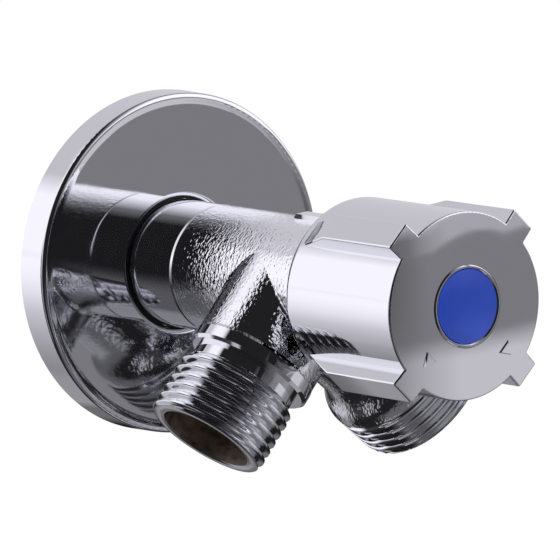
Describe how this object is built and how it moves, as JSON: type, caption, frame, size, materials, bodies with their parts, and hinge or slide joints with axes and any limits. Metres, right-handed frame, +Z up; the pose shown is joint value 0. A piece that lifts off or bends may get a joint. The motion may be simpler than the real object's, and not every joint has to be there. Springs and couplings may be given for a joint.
{
  "type": "double angle ball valve",
  "caption": "Wall angle valve with a threaded inlet, a left and a right outlet slanting down, a ball turned by a lugged barrel handle on the inlet axis, and a round sliding wall disc",
  "frame": {"origin": "point where the inlet axis meets the wall, at the back of the disc", "axes": "+X out of the wall along the inlet and the handle axis, +Z up, +Y to the right for someone who faces the wall"},
  "size_m": [0.0995, 0.0621, 0.0616],
  "materials": {
    "body_chrome": "polished",
    "disc_chrome": "polished",
    "grip_rubber": "matt",
    "ball_chrome": "polished",
    "seat_ptfe": "satin",
    "retainer_brass": "machined",
    "stem_brass": "machined",
    "seal_rubber": "matt",
    "bonnet_brass": "machined",
    "spring_steel": "bright",
    "handle_chrome": "polished",
    "bush_brass": "machined",
    "screw_steel": "bright",
    "button_blue": "glossy",
    "trim_chrome": "polished"
  },
  "bodies": {
    "body": {"valve_body": "body_chrome", "rear_seat": "seat_ptfe", "front_ring": "seat_ptfe", "left_outlet_seat": "seat_ptfe", "right_outlet_seat": "seat_ptfe", "left_seat_retainer": "retainer_brass", "right_seat_retainer": "retainer_brass", "thrust_washer": "seat_ptfe", "bonnet": "bonnet_brass", "bonnet_seal": "seal_rubber"},
    "handle": {"handle_shell": "handle_chrome", "handle_bush": "bush_brass", "handle_screw": "screw_steel", "spring_washer": "spring_steel", "button": "button_blue", "button_trim": "trim_chrome", "stem": "stem_brass", "stem_clip": "spring_steel", "stem_seals": "seal_rubber", "ball": "ball_chrome"},
    "escutcheon": {"escutcheon": "disc_chrome", "grip_ring": "grip_rubber"}
  },
  "joints": [
    {"name": "handle_turn", "type": "hinge", "parent": "body", "child": "handle", "pos_m": [0.0843, 0, 0], "axis": [1, 0, 0], "range_deg": [-176, 94]},
    {"name": "disc_slide", "type": "slide", "parent": "body", "child": "escutcheon", "axis": [1, 0, 0], "range_m": [0, 0.01]}
  ]
}
